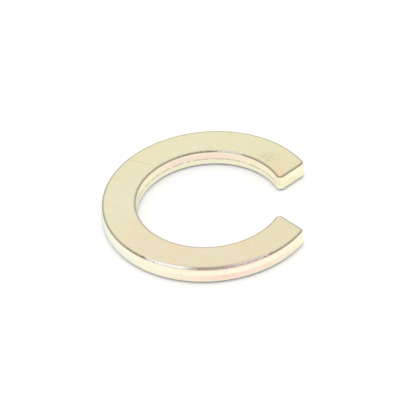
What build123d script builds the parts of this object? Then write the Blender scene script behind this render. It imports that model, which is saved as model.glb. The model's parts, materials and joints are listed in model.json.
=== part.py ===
from build123d import *
from math import asin, cos, radians, tan
import os

# External retaining ring, sheared in one stroke from spring steel strip as an open C.
# Frame: origin on the ring's axis at its base, +Z up, the mouth opening towards +X.
# Units are millimetres.

outer_diameter = 50.0  # over the burnished land
bore_diameter = 34.0  # in the burnished land, which grips the floor of a shaft groove
thickness = 4.2
throat_width = 12.0  # across the mouth, where the end faces meet the bore
mouth_flare = 45.0  # degrees between each end face and the mouth's centre line
corner_radius = 1.1  # the four corners of the ends, seen from above

# The sheared edge, from the base up. It is the same all round the outline.
die_roll_radius = 0.8  # material drawn down into the die
land_top = 2.1  # height at which the burnished land tears off
fracture_lean = 8.0  # degrees by which the torn band leans into the metal
burr_height = 0.7  # lip of turned-over burr above the torn band
burr_flare = 9.0  # degrees by which the lip leans back out
rim_radius = 0.25  # burr edge, tumbled smooth

outer_radius = outer_diameter / 2
bore_radius = bore_diameter / 2
burr_bottom = thickness - burr_height

# The end faces lie on a V whose point is on the mouth's centre line, inside the bore.
throat_x = bore_radius * cos(asin(throat_width / bore_diameter))
mouth_point_x = throat_x - throat_width / 2 / tan(radians(mouth_flare))
mouth_reach_x = outer_diameter
mouth_reach_y = (mouth_reach_x - mouth_point_x) * tan(radians(mouth_flare))

with BuildPart() as retaining_ring:
    with BuildSketch() as blank:
        Circle(outer_radius)
        Circle(bore_radius, mode=Mode.SUBTRACT)
        with BuildLine():
            Polyline(
                (mouth_point_x, 0),
                (mouth_reach_x, mouth_reach_y),
                (mouth_reach_x, -mouth_reach_y),
                close=True,
            )
        make_face(mode=Mode.SUBTRACT)
        fillet(blank.vertices(), corner_radius)

    # burnished land, square to the faces
    extrude(amount=land_top)

    # torn band, then the lip of burr that overhangs it
    tear_line = retaining_ring.faces().sort_by(Axis.Z)[-1]
    extrude(tear_line, amount=burr_bottom - land_top, taper=fracture_lean)
    lip_root = retaining_ring.faces().sort_by(Axis.Z)[-1]
    extrude(lip_root, amount=burr_height, taper=-burr_flare)

    # rounding drawn in round the base, and the smoothed edge of the burr
    fillet(retaining_ring.edges().group_by(Axis.Z)[0], die_roll_radius)
    fillet(retaining_ring.edges().group_by(Axis.Z)[-1], rim_radius)

os.makedirs("parts", exist_ok=True)
retaining_ring.part.label = "retaining_ring"
export_step(retaining_ring.part, "parts/retaining_ring.step")
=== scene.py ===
import json
import math
import bpy
import bmesh
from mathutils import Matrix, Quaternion, Vector


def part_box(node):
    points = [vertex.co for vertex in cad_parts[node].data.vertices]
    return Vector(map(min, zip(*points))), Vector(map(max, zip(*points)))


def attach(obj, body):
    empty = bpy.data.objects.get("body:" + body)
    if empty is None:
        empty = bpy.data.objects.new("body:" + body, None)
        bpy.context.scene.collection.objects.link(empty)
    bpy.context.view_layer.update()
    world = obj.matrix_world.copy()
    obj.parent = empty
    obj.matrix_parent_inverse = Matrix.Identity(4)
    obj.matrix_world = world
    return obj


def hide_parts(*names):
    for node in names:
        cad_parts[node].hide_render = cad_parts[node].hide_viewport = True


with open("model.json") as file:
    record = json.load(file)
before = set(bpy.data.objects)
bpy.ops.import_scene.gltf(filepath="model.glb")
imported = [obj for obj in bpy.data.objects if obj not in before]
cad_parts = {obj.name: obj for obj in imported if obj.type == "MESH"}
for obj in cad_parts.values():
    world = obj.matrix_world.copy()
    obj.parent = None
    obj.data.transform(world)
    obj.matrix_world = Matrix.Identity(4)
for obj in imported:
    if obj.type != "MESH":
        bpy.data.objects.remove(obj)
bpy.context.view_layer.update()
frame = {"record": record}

mm = 0.001
ringLow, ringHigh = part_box("retaining_ring")
mounts = {m["name"]: m for m in frame["record"]["mounts"]}
thickness = ringHigh.z - ringLow.z
outerRadius = ringHigh.y
boreRadius = mounts["groove_grip"]["dims"]["r_mm"] * mm
print("frame loaded, ring", round(outerRadius / mm, 2), round(boreRadius / mm, 2), round(thickness / mm, 2))


# working in edit mode

def clearSelection():
    if bpy.context.object and bpy.context.object.mode != "OBJECT":
        bpy.ops.object.mode_set(mode="OBJECT")
    bpy.ops.object.select_all(action="DESELECT")


def pick(kind, test):
    bpy.ops.mesh.select_mode(type=kind)
    bpy.ops.mesh.select_all(action="DESELECT")
    mesh = bmesh.from_edit_mesh(bpy.context.object.data)
    items = {"VERT": mesh.verts, "EDGE": mesh.edges, "FACE": mesh.faces}[kind]
    for item in items:
        item.select_set(bool(test(item)))
    mesh.select_flush_mode()
    bmesh.update_edit_mesh(bpy.context.object.data)


def turnAbout(centre, angle, steps):  # spin turns clockwise from above, so the angle changes sign
    bpy.ops.mesh.spin(steps=steps, angle=-angle, center=centre, axis=(0, 0, 1), dupli=False)


def drawIn(inset, rise):  # the selected cap shrinks by inset and moves by rise, leaving a sloping wall
    bpy.ops.mesh.inset(thickness=inset, use_even_offset=True)
    bpy.ops.transform.translate(value=(0, 0, rise))


def pullStraight(rise):
    bpy.ops.mesh.extrude_region_move(TRANSFORM_OT_translate={"value": (0, 0, rise)})


# the ring

ringShape = {
    "throat": 12.0 * mm,  # across the mouth where the ends meet the bore
    "flare": math.radians(45),
    "corner": 1.1 * mm,
    "dieRoll": 0.8 * mm,
    "landTop": 2.1 * mm,
    "neck": 0.2 * mm,  # deepest lean of the torn band
    "lipInset": 0.09 * mm,  # the burr lip stands this far inside the land
    "burrHeight": 0.7 * mm,
    "rim": 0.25 * mm,
    "outerStep": math.radians(0.45),
    "boreStep": math.radians(0.6),
    "rollSteps": 6,
    "landSteps": 3,
    "tornSteps": 7,
    "lipSteps": 3,
    "rimSteps": 4,
    "capLoops": (0.12 * mm, 0.2 * mm, 0.18 * mm, 0.2 * mm),  # with the rim these stay under the corner
}


def drawOutline(shape):
    flare, corner, throat = shape["flare"], shape["corner"], shape["throat"]
    throatX = math.sqrt(boreRadius ** 2 - throat ** 2 / 4)
    point = Vector((throatX - throat / 2 / math.tan(flare), 0, 0))
    along = Vector((math.cos(flare), math.sin(flare), 0))  # out along the upper end face
    inward = Vector((-math.sin(flare), math.cos(flare), 0))  # from that face into the metal
    foot = point + inward * corner
    onto = foot.dot(along)

    def cornerCentre(radius):
        return foot + along * (-onto + math.sqrt(onto ** 2 - foot.length_squared + radius ** 2))

    outerCorner = cornerCentre(outerRadius - corner)
    boreCorner = cornerCentre(boreRadius + corner)
    outerAngle = math.atan2(outerCorner.y, outerCorner.x)
    boreAngle = math.atan2(boreCorner.y, boreCorner.x)
    faceAngle = math.atan2(-inward.y, -inward.x)  # the way the end face looks

    # one point draws half the outline: outer arc, corner, end face, corner, bore
    bpy.ops.mesh.merge(type="CENTER")
    bpy.ops.transform.translate(value=(-outerRadius, 0, shape["landTop"]))
    sweep = math.pi - outerAngle
    turnAbout((0, 0, 0), -sweep, round(sweep / shape["outerStep"]))
    turnAbout(outerCorner, faceAngle - outerAngle, 10)
    faceSteps = round((outerCorner - boreCorner).length / (0.25 * mm))
    for _ in range(faceSteps):
        bpy.ops.mesh.extrude_region_move(
            TRANSFORM_OT_translate={"value": (boreCorner - outerCorner) / faceSteps})
    turnAbout(boreCorner, -(math.pi + faceAngle - boreAngle), 10)
    sweep = math.pi - boreAngle
    turnAbout((0, 0, 0), sweep, round(sweep / shape["boreStep"]))

    # its mirror image closes the loop, and one face fills it, looking down
    bpy.ops.mesh.select_all(action="SELECT")
    bpy.ops.mesh.duplicate()
    bpy.ops.transform.resize(value=(1, -1, 1), center_override=(0, 0, 0))
    bpy.ops.mesh.select_all(action="SELECT")
    bpy.ops.mesh.remove_doubles(threshold=0.01 * mm)
    bpy.ops.mesh.edge_face_add()


def raiseSection(shape):
    landHeight = shape["landTop"] - shape["dieRoll"]
    for _ in range(shape["landSteps"]):
        pullStraight(-landHeight / shape["landSteps"])
    turn = math.pi / 2 / shape["rollSteps"]
    for step in range(shape["rollSteps"]):
        start, end = step * turn, (step + 1) * turn
        drawIn(shape["dieRoll"] * (math.cos(start) - math.cos(end)),
               -shape["dieRoll"] * (math.sin(end) - math.sin(start)))

    # torn band, lip and rim go up from the land's top face
    pick("FACE", lambda f: len(f.verts) > 8 and f.calc_center_median().z > shape["landTop"] - 0.01 * mm)
    tornHeight = thickness - shape["burrHeight"] - shape["landTop"]
    for _ in range(shape["tornSteps"]):
        drawIn(shape["lipInset"] / shape["tornSteps"], tornHeight / shape["tornSteps"])
    for _ in range(shape["lipSteps"]):
        pullStraight((shape["burrHeight"] - shape["rim"]) / shape["lipSteps"])
    turn = math.pi / 2 / shape["rimSteps"]
    for step in range(shape["rimSteps"]):
        start, end = step * turn, (step + 1) * turn
        drawIn(shape["rim"] * (math.cos(start) - math.cos(end)),
               shape["rim"] * (math.sin(end) - math.sin(start)))
    for width in shape["capLoops"]:
        drawIn(width, 0)


def hollowTornBand(shape):  # each loop of the band is drawn in, deepest where the lip starts
    lipBottom = thickness - shape["burrHeight"]
    tornHeight = lipBottom - shape["landTop"]
    rimBottom = thickness - shape["rim"]
    tornStep = tornHeight / shape["tornSteps"]
    levels = [shape["landTop"] + tornStep * (i + 1) for i in range(shape["tornSteps"])]
    lipStep = (rimBottom - lipBottom) / shape["lipSteps"]
    levels += [lipBottom + lipStep * (i + 1) for i in range(shape["lipSteps"] - 1)]
    extra = shape["neck"] - shape["lipInset"]
    for level in levels:
        if level <= lipBottom + 1e-7:
            share = (level - shape["landTop"]) / tornHeight
        else:
            share = (rimBottom - level) / (rimBottom - lipBottom)
        pick("VERT", lambda v: abs(v.co.z - level) < 0.005 * mm)
        bpy.ops.transform.shrink_fatten(value=-extra * math.sin(share * math.pi / 2))


def buildRing(shape):
    clearSelection()
    bpy.ops.mesh.primitive_plane_add(size=mm)
    ring = bpy.context.object
    ring.name = "sheared_ring"
    bpy.ops.object.mode_set(mode="EDIT")
    drawOutline(shape)
    bpy.ops.mesh.select_mode(type="FACE")
    bpy.ops.mesh.select_all(action="SELECT")
    raiseSection(shape)
    hollowTornBand(shape)
    bpy.ops.mesh.select_all(action="SELECT")
    bpy.ops.mesh.normals_make_consistent(inside=False)
    bpy.ops.object.mode_set(mode="OBJECT")
    return ring


# wear on the ring's edges

ringWear = {
    "chipDepth": 0.16 * mm,
    "chipSize": 0.9 * mm,
    # spans round the rim: from, to, how much, which side
    "chipped": ((224, 242, 0.9, "outer"), (262, 306, 0.8, "outer"), (86, 118, 0.7, "bore")),
    "elsewhere": 0.15,
    "rolled": ((240, 300, 1.0, "outer"), (68, 84, 0.5, "bore")),
    "rolledDepth": 0.24 * mm,
    "tearWave": 0.5 * mm,
    "tearSize": 2.2 * mm,
    "grainDepth": 0.09 * mm,
    "grainSize": 0.45 * mm,
}


def angleOf(co):
    return math.degrees(math.atan2(co.y, co.x)) % 360


def within(angle, start, end, soft=6):  # 1 between start and end, fading to 0 over the soft margin
    middle, half = (start + end) / 2, (end - start) / 2
    off = abs((angle - middle + 180) % 360 - 180)
    return max(0.0, min(1.0, (half + soft - off) / soft))


def insideEdge(co, shape):  # how far a point lies inside the outline, seen from above
    throatX = math.sqrt(boreRadius ** 2 - shape["throat"] ** 2 / 4)
    pointX = throatX - shape["throat"] / 2 / math.tan(shape["flare"])
    radius = math.hypot(co.x, co.y)
    fromEnd = abs(co.y) * math.cos(shape["flare"]) - (co.x - pointX) * math.sin(shape["flare"])
    fromSide = min(outerRadius - radius, radius - boreRadius)
    corner = shape["corner"]
    if co.x > 0 and fromEnd < corner and fromSide < corner:
        return corner - math.hypot(corner - fromEnd, corner - fromSide)
    return min(fromEnd, fromSide) if co.x > 0 else fromSide


def rimWeight(co, shape, spans, reach, elsewhere=0.0):  # reach is how far the wear runs in over the flat
    if co.z < thickness - shape["rim"] - 0.12 * mm:
        return 0.0
    depth = insideEdge(co, shape) - shape["lipInset"] - shape["rim"]
    fade = max(0.0, min(1.0, 1.3 * (1 - depth / reach)))
    side = "outer" if math.hypot(co.x, co.y) > (outerRadius + boreRadius) / 2 else "bore"
    amount = elsewhere
    for start, end, strength, where in spans:
        if where == side:
            amount = max(amount, strength * within(angleOf(co), start, end))
    return amount * fade


# the edge loop round the top, where the painted dark rim reflection goes
def rimLineWeight(co, shape):
    depth = insideEdge(co, shape) - shape["lipInset"] - shape["rim"]
    return 1.0 if co.z > thickness - 0.03 * mm and depth < shape["capLoops"][0] + 0.02 * mm else 0.0


def bandWeight(co, shape, low, high):
    if insideEdge(co, shape) > 2 * shape["neck"]:
        return 0.0
    return 1.0 if low < co.z < high else 0.0


def markBand(piece, name, weightOf):  # as a vertex group for the modifiers and an attribute for the material
    group = piece.vertex_groups.new(name=name)
    weights = [weightOf(v.co) for v in piece.data.vertices]
    for index, weight in enumerate(weights):
        if weight > 0:
            group.add([index], weight, "REPLACE")
    shown = piece.data.attributes.new(name + "Share", "FLOAT", "POINT")
    shown.data.foreach_set("value", weights)


def roughen(piece, name, group, size, strength, direction="NORMAL", middle=0.5, contrast=1.0, level=1.0):
    cloud = bpy.data.textures.new(name, "CLOUDS")
    cloud.noise_scale = size
    cloud.noise_depth = 2
    cloud.contrast = contrast
    cloud.intensity = level
    cloud.use_clamp = True
    shift = piece.modifiers.new(name, "DISPLACE")
    shift.texture = cloud
    shift.texture_coords = "LOCAL"
    shift.vertex_group = group
    shift.direction = direction
    shift.mid_level = middle
    shift.strength = strength


def wearRing(piece, shape, wear):
    lipBottom = thickness - shape["burrHeight"]
    step = 0.02 * mm
    loops = shape["capLoops"]
    chipReach = sum(loops[:2])
    markBand(piece, "rim", lambda co: rimWeight(co, shape, wear["chipped"], chipReach, wear["elsewhere"]))
    markBand(piece, "rolled", lambda co: rimWeight(co, shape, wear["rolled"], sum(loops)))
    # the edge band carries no wear: it marks where the painted dark rim reflection goes
    markBand(piece, "rimLineBand", lambda co: rimLineWeight(co, shape))
    tearLow, tearHigh = shape["landTop"] - step, shape["landTop"] + step
    markBand(piece, "torn", lambda co: bandWeight(co, shape, tearHigh, lipBottom + step))
    markBand(piece, "tear", lambda co: bandWeight(co, shape, tearLow, tearHigh))
    fold = piece.modifiers.new("fold", "DISPLACE")
    fold.vertex_group = "rolled"
    fold.mid_level = 0
    fold.strength = -wear["rolledDepth"]
    roughen(piece, "rimChips", "rim", wear["chipSize"], -wear["chipDepth"], middle=0, contrast=4, level=0.62)
    roughen(piece, "tornGrain", "torn", wear["grainSize"], wear["grainDepth"])
    roughen(piece, "tearWaves", "tear", wear["tearSize"], wear["tearWave"], direction="Z")
    clearSelection()
    bpy.context.view_layer.objects.active = piece
    piece.select_set(True)
    for modifier in list(piece.modifiers):
        bpy.ops.object.modifier_apply(modifier=modifier.name)
    bpy.ops.object.shade_smooth_by_angle(angle=math.radians(50))


ring = buildRing(ringShape)
wearRing(ring, ringShape, ringWear)
print("ring modelled,", len(ring.data.vertices), "vertices,", len(ring.data.polygons), "faces")

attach(ring, "root")
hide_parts("retaining_ring")


# building materials from nodes

def shade(red, green, blue):  # a colour as seen on screen, 0 to 255
    channels = [c / 255 for c in (red, green, blue)]
    return tuple(((c + 0.055) / 1.055) ** 2.4 if c > 0.04 else c / 12.92 for c in channels) + (1.0,)


def addNode(tree, kind, inputs=None, **settings):
    made = tree.nodes.new(kind)
    for name, value in settings.items():
        setattr(made, name, value)
    for name, value in (inputs or {}).items():
        if isinstance(value, bpy.types.NodeSocket):
            tree.links.new(value, made.inputs[name])
        else:
            made.inputs[name].default_value = value
    return made


def sums(tree, operation, a, b=0.0, c=0.0, clamp=False):
    node = addNode(tree, "ShaderNodeMath", {0: a, 1: b, 2: c}, operation=operation, use_clamp=clamp)
    return node.outputs[0]


def times(tree, a, b, clamp=False):
    return sums(tree, "MULTIPLY", a, b, clamp=clamp)


def between(tree, value, low, high):  # 0 at low, 1 at high
    return addNode(tree, "ShaderNodeMapRange", {"Value": value, "From Min": low, "From Max": high},
                   interpolation_type="SMOOTHSTEP").outputs[0]


def band(tree, name):  # a band marked on the mesh
    return addNode(tree, "ShaderNodeAttribute", attribute_name=name + "Share").outputs["Fac"]


def blend(tree, amount, a, b):
    mix = addNode(tree, "ShaderNodeMix", data_type="RGBA")
    for socket, value in ((mix.inputs[0], amount), (mix.inputs[6], a), (mix.inputs[7], b)):
        if isinstance(value, bpy.types.NodeSocket):
            tree.links.new(value, socket)
        else:
            socket.default_value = value
    return mix.outputs[2]


def turnTints(tree, turn, stops):  # colours round the ring, each at an angle counted from the mouth
    ramp = addNode(tree, "ShaderNodeValToRGB", {0: turn})
    marks = ramp.color_ramp.elements
    opposite = next(colour for degrees, colour in stops if degrees == 180)
    marks[0].color = opposite
    marks[1].color = opposite
    for degrees, colour in stops:
        if degrees != 180:
            marks.new((degrees + 180) % 360 / 360).color = colour
    return ramp.outputs[0]


def speckle(tree, where, scale, detail=2.0, stretch=(1, 1, 1), roughness=0.5):
    mapped = addNode(tree, "ShaderNodeMapping", {"Vector": where, "Scale": stretch}).outputs[0]
    return addNode(tree, "ShaderNodeTexNoise",
                   {"Vector": mapped, "Scale": scale, "Detail": detail, "Roughness": roughness}).outputs[0]


# the plating

plating = {
    "top": (
        (180, shade(237, 235, 204)), (205, shade(238, 230, 196)), (227, shade(239, 225, 193)),
        (300, shade(238, 224, 191)), (330, shade(234, 224, 190)), (350, shade(238, 219, 186)),
        (20, shade(239, 218, 180)), (40, shade(236, 228, 188)), (65, shade(236, 232, 194)),
        (120, shade(238, 233, 196)), (160, shade(237, 230, 193)),
    ),
    # the wall tints, with ends and pale below, are paler than the top's: partly the plating's own hue,
    # partly painted highlight for the brighter light the walls catch
    "outer": (
        (180, shade(222, 243, 240)), (200, shade(236, 249, 244)), (217, shade(246, 250, 232)),
        (237, shade(252, 250, 226)), (262, shade(252, 236, 216)), (278, shade(252, 222, 210)),
        (306, shade(252, 232, 216)), (328, shade(252, 249, 216)), (355, shade(252, 248, 212)),
        (40, shade(250, 244, 210)), (90, shade(250, 230, 212)), (140, shade(242, 247, 226)),
    ),
    "bore": (
        (180, shade(216, 226, 188)), (22, shade(248, 226, 212)), (32, shade(252, 249, 212)),
        (60, shade(252, 240, 212)), (80, shade(252, 228, 212)), (118, shade(251, 228, 213)),
        (140, shade(252, 244, 212)), (158, shade(249, 248, 208)), (172, shade(226, 231, 196)),
        (220, shade(246, 244, 210)), (270, shade(250, 232, 212)), (320, shade(248, 244, 210)),
    ),
    "fold": (
        (180, shade(250, 248, 244)), (258, shade(250, 247, 240)), (266, shade(176, 160, 146)),
        (280, shade(190, 172, 160)), (288, shade(218, 206, 206)), (302, shade(222, 210, 208)),
        (312, shade(246, 240, 226)), (76, shade(226, 216, 210)),
    ),
    "ends": shade(249, 245, 210),
    "pale": shade(249, 246, 221),
    "greenish": shade(231, 232, 200),
    "tan": shade(241, 222, 186),
    "speck": shade(128, 114, 98),
    "speckCentre": Vector((13.4, 14.4, 4.2)) * mm,
    "scratchTurn": math.radians(69.3),
    "scratchAway": 7.02 * mm,
    # rim: tint for chips worn into the rim, and for the painted dark reflection along the rounded rim
    "rim": shade(134, 118, 106),
    "tearLine": shade(182, 150, 132),
    # foot: painted contact shadow, a dark tint standing in for the shade under the die roll
    "foot": shade(76, 66, 62),
    "metallic": 0.8,
    "roughness": 0.28,  # lowest, the grain adds up to 0.2
    "bumpStrength": 0.35,
    "bumpDepth": 0.05 * mm,
    "patchScale": 190,  # noise scales, per metre
    "mottleScale": 900,
    "grainScale": 2600,
    "pitScale": 3600,
    "streakScale": 1500,
    "patchAmount": 0.45,
    "mottleAmount": 0.4,
    "grainAmount": 0.12,
    "streakAmount": 0.06,
    "scratchAmount": 0.2,
    # strength of the painted dark reflection along the rim
    "paintedRimLineAmount": 0.8,
}


def platedSteel(look):
    material = bpy.data.materials.new("yellow_plated_steel")
    material.use_nodes = True
    tree = material.node_tree
    tree.nodes.clear()
    coords = addNode(tree, "ShaderNodeTexCoord")
    where = coords.outputs["Object"]
    x, y, z = addNode(tree, "ShaderNodeSeparateXYZ", {0: where}).outputs
    nx, ny, nz = addNode(tree, "ShaderNodeSeparateXYZ", {0: coords.outputs["Normal"]}).outputs

    # which way the surface faces, and where round the ring it is
    turn = sums(tree, "MULTIPLY_ADD", sums(tree, "ARCTAN2", y, x), 1 / math.tau, 0.5)
    radius = sums(tree, "SQRT", sums(tree, "MULTIPLY_ADD", x, x, times(tree, y, y)))
    outward = sums(tree, "DIVIDE", sums(tree, "MULTIPLY_ADD", nx, x, times(tree, ny, y)), radius)
    facesUp = between(tree, nz, 0.45, 0.85)
    facesOut = between(tree, outward, 0.35, 0.75)
    facesIn = between(tree, outward, -0.35, -0.75)
    rim = band(tree, "rim")
    rolled = band(tree, "rolled")
    torn = band(tree, "torn")
    tear = band(tree, "tear")

    # noises
    patches = speckle(tree, where, look["patchScale"], 3)
    mottle = speckle(tree, where, look["mottleScale"], 3, roughness=0.6)
    grain = speckle(tree, where, look["grainScale"], 3, roughness=0.6)
    pits = speckle(tree, where, look["pitScale"], 1)
    streaks = speckle(tree, where, look["streakScale"], 2, stretch=(1, 1, 0.06))

    # walls: outside the land has the tint and the torn band is pale, in the bore it is the other way round
    # walls paler than the top: partly the plating's own hue, partly painted highlight, set by which way the
    # surface faces
    bore = blend(tree, torn, look["pale"], turnTints(tree, turn, look["bore"]))
    outer = blend(tree, torn, turnTints(tree, turn, look["outer"]), look["pale"])
    outer = blend(tree, times(tree, between(tree, z, 1.5 * mm, 0.7 * mm), 0.7), outer, look["pale"])
    walls = blend(tree, facesIn, look["ends"], bore)
    walls = blend(tree, facesOut, walls, outer)
    streaked = times(tree, between(tree, streaks, 0.5, 0.75), look["streakAmount"])
    walls = blend(tree, streaked, walls, look["tearLine"])
    line = times(tree, tear, sums(tree, "MULTIPLY_ADD", facesIn, 0.6, 0.1))
    walls = blend(tree, times(tree, line, between(tree, mottle, 0.3, 0.55)), walls, look["tearLine"])
    # painted contact shadow: below 0.66 mm the walls fade to the foot tint by 0.34 mm, and the underside
    # takes it too
    walls = blend(tree, between(tree, z, 0.66 * mm, 0.34 * mm), walls, look["foot"])

    # top
    top = turnTints(tree, turn, look["top"])
    for noise, low, high, amount, tint in (
        (patches, 0.5, 0.66, look["patchAmount"], look["greenish"]),
        (patches, 0.46, 0.34, look["mottleAmount"], look["tan"]),
        (mottle, 0.45, 0.66, look["mottleAmount"], look["tan"]),
        (mottle, 0.5, 0.3, look["mottleAmount"], look["greenish"]),
    ):
        top = blend(tree, times(tree, between(tree, noise, low, high), amount), top, tint)
    top = blend(tree, times(tree, between(tree, grain, 0.5, 0.7), look["grainAmount"]), top, look["speck"])
    centre = addNode(tree, "ShaderNodeVectorMath", {0: where, 1: look["speckCentre"]}, operation="DISTANCE")
    crowd = between(tree, centre.outputs["Value"], 4.4 * mm, 0.8 * mm)
    cut = sums(tree, "MULTIPLY_ADD", crowd, -0.12, 0.68)
    specks = times(tree, sums(tree, "SUBTRACT", pits, cut), 14, clamp=True)
    specks = times(tree, specks, sums(tree, "MULTIPLY_ADD", crowd, 0.5, 0.15))
    top = blend(tree, specks, top, look["speck"])
    along = times(tree, x, math.cos(look["scratchTurn"]))
    across = sums(tree, "MULTIPLY_ADD", y, math.sin(look["scratchTurn"]), along)
    off = sums(tree, "ABSOLUTE", sums(tree, "SUBTRACT", across, look["scratchAway"]))
    thin = between(tree, off, 0.16 * mm, 0.04 * mm)
    scratch = times(tree, thin, between(tree, x, -13 * mm, -15 * mm))
    top = blend(tree, times(tree, scratch, look["scratchAmount"]), top, look["speck"])

    # rim: a dark line painted on the rounded rim and its edge loop, a painted dark reflection; then the
    # fold's tints and the chips
    colour = blend(tree, facesUp, walls, top)
    atTop = between(tree, z, thickness - 0.42 * mm, thickness - 0.26 * mm)
    paintedRimLine = times(tree, atTop, between(tree, nz, 0.985, 0.9))
    rimLineBand = band(tree, "rimLineBand")
    paintedRimLine = sums(tree, "MAXIMUM", paintedRimLine, times(tree, rimLineBand, 0.55))
    colour = blend(tree, times(tree, paintedRimLine, look["paintedRimLineAmount"]), colour, look["rim"])
    folded = between(tree, rolled, 0.15, 0.45)
    colour = blend(tree, folded, colour, turnTints(tree, turn, look["fold"]))
    chipped = times(tree, rim, between(tree, grain, 0.44, 0.6), clamp=True)
    colour = blend(tree, chipped, colour, look["rim"])

    # relief and gloss
    height = sums(tree, "MULTIPLY_ADD", grain, 0.6, times(tree, between(tree, pits, 0.7, 0.6), 0.4))
    wallHeight = times(tree, streaks, sums(tree, "SUBTRACT", 1, facesUp))
    height = sums(tree, "ADD", height, wallHeight)
    bump = addNode(tree, "ShaderNodeBump", {
        "Height": height, "Strength": look["bumpStrength"], "Distance": look["bumpDepth"]}).outputs[0]
    rough = sums(tree, "MULTIPLY_ADD", grain, 0.2, look["roughness"])
    surface = addNode(tree, "ShaderNodeBsdfPrincipled", {
        "Base Color": colour, "Metallic": look["metallic"], "Roughness": rough, "Normal": bump}).outputs[0]
    addNode(tree, "ShaderNodeOutputMaterial", {"Surface": surface})
    return material


ring.data.materials.append(platedSteel(plating))
print("plating made")


# camera

cameraSetup = {
    "aim": Vector((-0.557, 0.692, 0.622)) * mm,
    "distance": 668 * mm,
    "azimuth": math.radians(4.8),
    "elevation": math.radians(40.0),
    "roll": math.radians(4.7),
    "lens": 249.4,
}


def placeCamera(setup):
    flat = math.cos(setup["elevation"])
    away = Vector((math.sin(setup["azimuth"]) * flat, -math.cos(setup["azimuth"]) * flat,
                   math.sin(setup["elevation"])))
    clearSelection()
    bpy.ops.object.camera_add(location=setup["aim"] + away * setup["distance"])
    camera = bpy.context.object
    camera.name = "productCamera"
    camera.rotation_mode = "QUATERNION"
    camera.rotation_quaternion = away.to_track_quat("Z", "Y") @ Quaternion((0, 0, 1), -setup["roll"])
    camera.data.lens = setup["lens"]
    camera.data.sensor_width = 36
    camera.data.clip_start = 0.01
    bpy.context.scene.camera = camera


placeCamera(cameraSetup)


# floor and light

studio = {
    "floor": shade(246, 246, 246),
    "glow": 0.2,  # lifts the seen floor to white, and leaves the close shadow
    "light": 1.0,
    "front": 0.95,
}


def buildFloor(setup):
    clearSelection()
    bpy.ops.mesh.primitive_plane_add(size=6, location=(0, 0, ringLow.z))
    floor = bpy.context.object
    floor.name = "floor"
    floor.data.transform(floor.matrix_world)
    floor.matrix_world.identity()
    material = bpy.data.materials.new("pale_floor")
    material.use_nodes = True
    tree = material.node_tree
    tree.nodes.clear()
    surface = addNode(tree, "ShaderNodeBsdfDiffuse", {"Color": setup["floor"]}).outputs[0]
    rays = addNode(tree, "ShaderNodeLightPath").outputs
    seen = sums(tree, "MAXIMUM", rays["Is Camera Ray"], rays["Is Glossy Ray"])
    lift = times(tree, seen, setup["glow"])
    glow = addNode(tree, "ShaderNodeEmission", {"Strength": lift}).outputs[0]
    both = addNode(tree, "ShaderNodeAddShader", {0: surface, 1: glow}).outputs[0]
    addNode(tree, "ShaderNodeOutputMaterial", {"Surface": both})
    floor.data.materials.append(material)


def lightRoom(setup):  # a white tent, dimmer low on the near side
    world = bpy.data.worlds.new("studio")
    world.use_nodes = True
    bpy.context.scene.world = world
    tree = world.node_tree
    tree.nodes.clear()
    direction = addNode(tree, "ShaderNodeTexCoord").outputs["Generated"]
    x, y, z = addNode(tree, "ShaderNodeSeparateXYZ", {0: direction}).outputs
    far = between(tree, sums(tree, "MULTIPLY_ADD", z, 0.6, y), -0.5, 0.4)
    level = sums(tree, "MULTIPLY_ADD", far, setup["light"] - setup["front"], setup["front"])
    seen = addNode(tree, "ShaderNodeLightPath").outputs["Is Camera Ray"]
    tent = addNode(tree, "ShaderNodeBackground", {"Color": (1, 1, 1, 1), "Strength": level}).outputs[0]
    white = addNode(tree, "ShaderNodeBackground", {"Color": (1, 1, 1, 1), "Strength": 1.0}).outputs[0]
    both = addNode(tree, "ShaderNodeMixShader", {0: seen, 1: tent, 2: white}).outputs[0]
    addNode(tree, "ShaderNodeOutputWorld", {"Surface": both})


buildFloor(studio)
lightRoom(studio)
print("floor and light set")

bpy.context.scene.view_settings.view_transform = "Standard"
